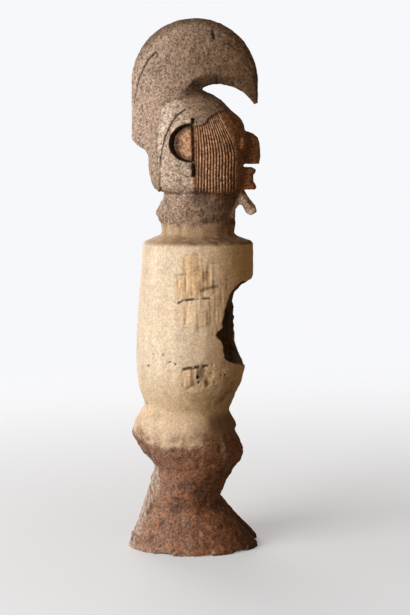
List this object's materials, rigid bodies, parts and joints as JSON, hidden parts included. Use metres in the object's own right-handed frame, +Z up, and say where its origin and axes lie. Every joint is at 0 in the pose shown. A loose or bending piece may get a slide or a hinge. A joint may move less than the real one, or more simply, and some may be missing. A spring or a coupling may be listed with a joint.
{
  "type": "power figure",
  "caption": "Standing carved wooden power figure with a hooked crest, a striated face, an open belly cavity, bent legs and broad half-round feet.",
  "frame": {"origin": "on the ground below the middle of the figure's bounding box, between the two soles", "axes": "+Z up along the figure, -Y the way the figure faces, -X its right hand side"},
  "size_m": [0.1136, 0.1299, 0.52],
  "materials": {
    "carved_wood": "matt, worn and crusted, dark brown on the head, neck and legs and pale buff on the torso"
  },
  "bodies": {
    "root": {"carved_figure": "carved_wood"}
  },
  "joints": []
}
